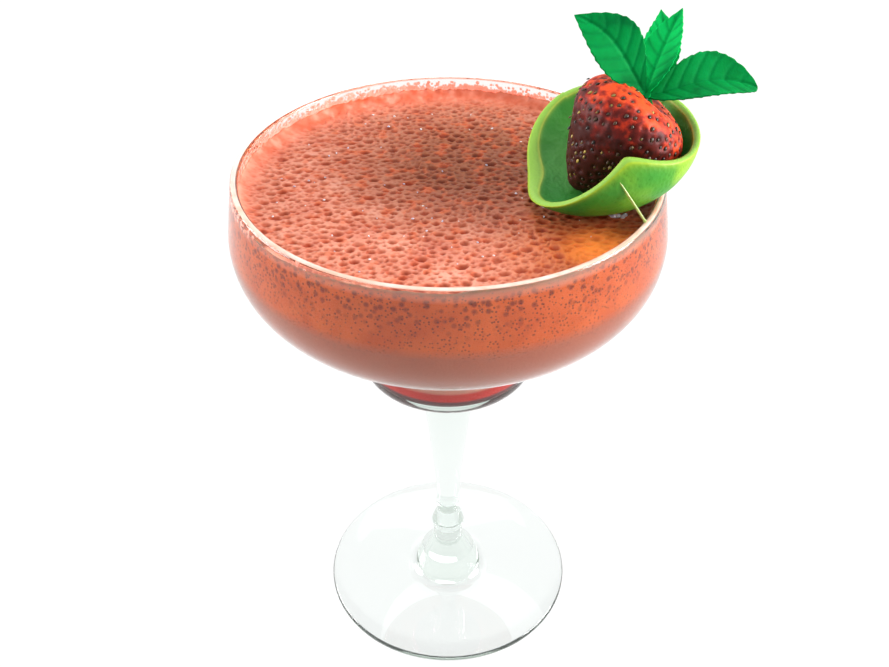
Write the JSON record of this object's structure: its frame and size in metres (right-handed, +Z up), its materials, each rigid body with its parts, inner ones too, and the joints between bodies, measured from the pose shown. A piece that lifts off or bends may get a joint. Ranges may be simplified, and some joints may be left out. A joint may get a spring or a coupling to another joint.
{
  "type": "frozen cocktail",
  "caption": "Frozen margarita in a footed stem glass with a small lower cup; a hollowed lime, a strawberry and mint sit on the rim.",
  "frame": {"origin": "middle of the foot's underside, on the glass's axis", "axes": "+Z up along the glass's axis, +X from the axis towards the garnish on the rim, -Y towards the side that the garnish opens to"},
  "size_m": [0.1315, 0.1142, 0.1923],
  "materials": {
    "clear_glass": "clear, fire-polished",
    "frozen_drink": "wet icy froth",
    "lime_peel": "waxy peel",
    "strawberry_flesh": "wet, seeded",
    "mint": "satin leaf",
    "pick": "smooth"
  },
  "bodies": {
    "root": {"glass": "clear_glass", "frozen_drink": "frozen_drink", "lime_cup": "lime_peel", "strawberry": "strawberry_flesh", "mint_stalk": "mint", "mint_leaf_left": "mint", "mint_leaf_back": "mint", "mint_leaf_high": "mint", "mint_leaf_right": "mint", "cocktail_pick": "pick"}
  },
  "joints": []
}
